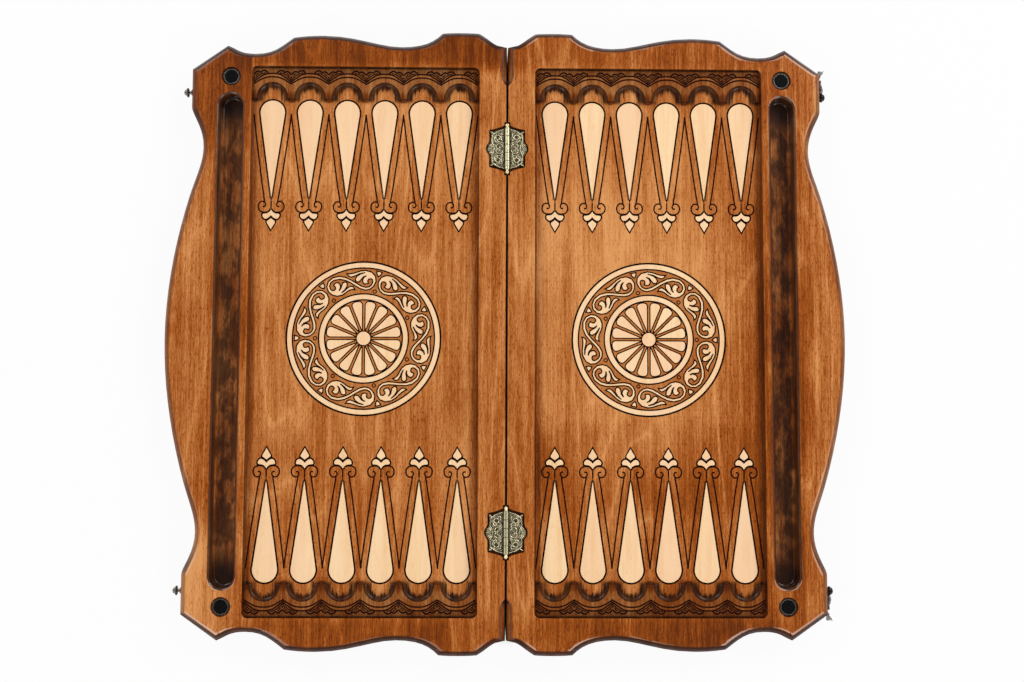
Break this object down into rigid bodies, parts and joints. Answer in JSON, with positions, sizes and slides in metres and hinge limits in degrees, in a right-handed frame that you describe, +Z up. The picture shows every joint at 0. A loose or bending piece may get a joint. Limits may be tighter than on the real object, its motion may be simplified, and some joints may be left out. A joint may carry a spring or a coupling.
{
  "type": "backgammon board",
  "caption": "Folding carved wooden backgammon board with inlaid points and medallions, checker troughs, ornamental hinges and swinging side latches.",
  "frame": {"origin": "on the table under the middle of the fold line, with the board lying open", "axes": "+X to the right half, +Y to the rear end, along the fold line, +Z up"},
  "size_m": [0.5984, 0.5492, 0.0263],
  "materials": {
    "stained_wood": "satin varnish",
    "light_inlay": "satin varnish",
    "ground_veneer": "satin varnish",
    "disc_black": "gloss",
    "antique_brass": "antiqued",
    "dark_nail": "browned",
    "dark_metal": "antiqued"
  },
  "bodies": {
    "left_half": {"left_board": "stained_wood", "left_rear_points": "light_inlay", "left_front_points": "light_inlay", "left_rear_point_tips": "light_inlay", "left_front_point_tips": "light_inlay", "left_medallion_ground": "ground_veneer", "left_medallion_rings": "light_inlay", "left_rosette": "light_inlay", "left_scrolls": "light_inlay", "left_corner_discs": "disc_black", "left_hinge_nails": "dark_nail", "rear_hinge_left_leaf": "antique_brass", "front_hinge_left_leaf": "antique_brass", "rear_hinge_pin": "antique_brass", "front_hinge_pin": "antique_brass", "rear_latch_knob": "dark_metal", "front_latch_knob": "dark_metal"},
    "right_half": {"right_board": "stained_wood", "right_rear_points": "light_inlay", "right_front_points": "light_inlay", "right_rear_point_tips": "light_inlay", "right_front_point_tips": "light_inlay", "right_medallion_ground": "ground_veneer", "right_medallion_rings": "light_inlay", "right_rosette": "light_inlay", "right_scrolls": "light_inlay", "right_corner_discs": "disc_black", "right_hinge_nails": "dark_nail", "rear_hinge_right_leaf": "antique_brass", "front_hinge_right_leaf": "antique_brass", "rear_hook_screw": "dark_metal", "front_hook_screw": "dark_metal"},
    "rear_hook": {"rear_latch_hook": "dark_metal"},
    "front_hook": {"front_latch_hook": "dark_metal"}
  },
  "joints": [
    {"name": "fold", "type": "hinge", "parent": "left_half", "child": "right_half", "pos_m": [0, 0, 0.02415], "axis": [0, -1, 0], "range_deg": [0, 180]},
    {"name": "rear_hook_swing", "type": "hinge", "parent": "right_half", "child": "rear_hook", "pos_m": [0.28, 0.219, 0.015], "axis": [1, 0, 0], "range_deg": [0, 106]},
    {"name": "front_hook_swing", "type": "hinge", "parent": "right_half", "child": "front_hook", "pos_m": [0.28, -0.219, 0.015], "axis": [-1, 0, 0], "range_deg": [0, 106]}
  ]
}
